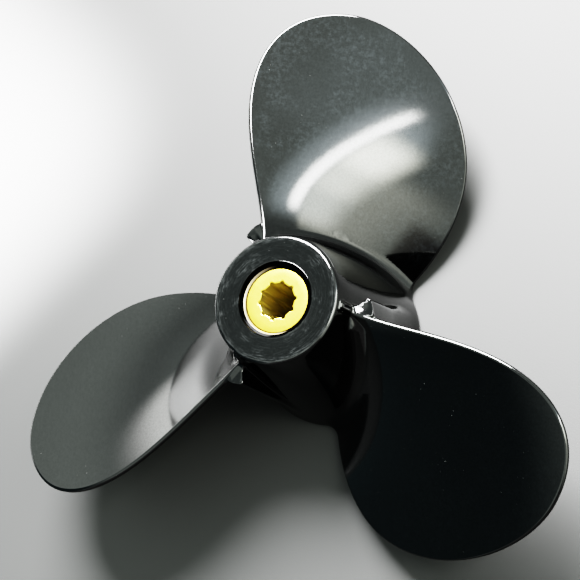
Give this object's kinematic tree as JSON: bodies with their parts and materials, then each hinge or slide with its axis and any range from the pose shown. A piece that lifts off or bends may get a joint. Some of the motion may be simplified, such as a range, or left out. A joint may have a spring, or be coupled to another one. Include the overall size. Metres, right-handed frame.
{
  "type": "outboard motor propeller",
  "caption": "Right-hand boat propeller for a small outboard motor: wide round-tipped blades on a tapered hub, with a splined sleeve held in a rubber bush.",
  "frame": {"origin": "on the shaft axis, 32.5 mm forward of the hub's aft face and 30 mm above its forward rim, which is close to the centre of its volume", "axes": "+Z along the shaft axis towards the narrow aft end of the hub, where the propeller nut goes; +Y along the reference line of one blade"},
  "size_m": [0.2124, 0.1957, 0.0625],
  "materials": {
    "gloss_black_paint": "cast aluminium under gloss black paint, with fine dust specks and light scratches",
    "black_rubber": "matt moulded black rubber",
    "brass": "machined brass, bright on the end faces and duller in the bore"
  },
  "bodies": {
    "root": {"propeller_casting": "gloss_black_paint", "rubber_bush": "black_rubber", "splined_sleeve": "brass"}
  },
  "joints": []
}
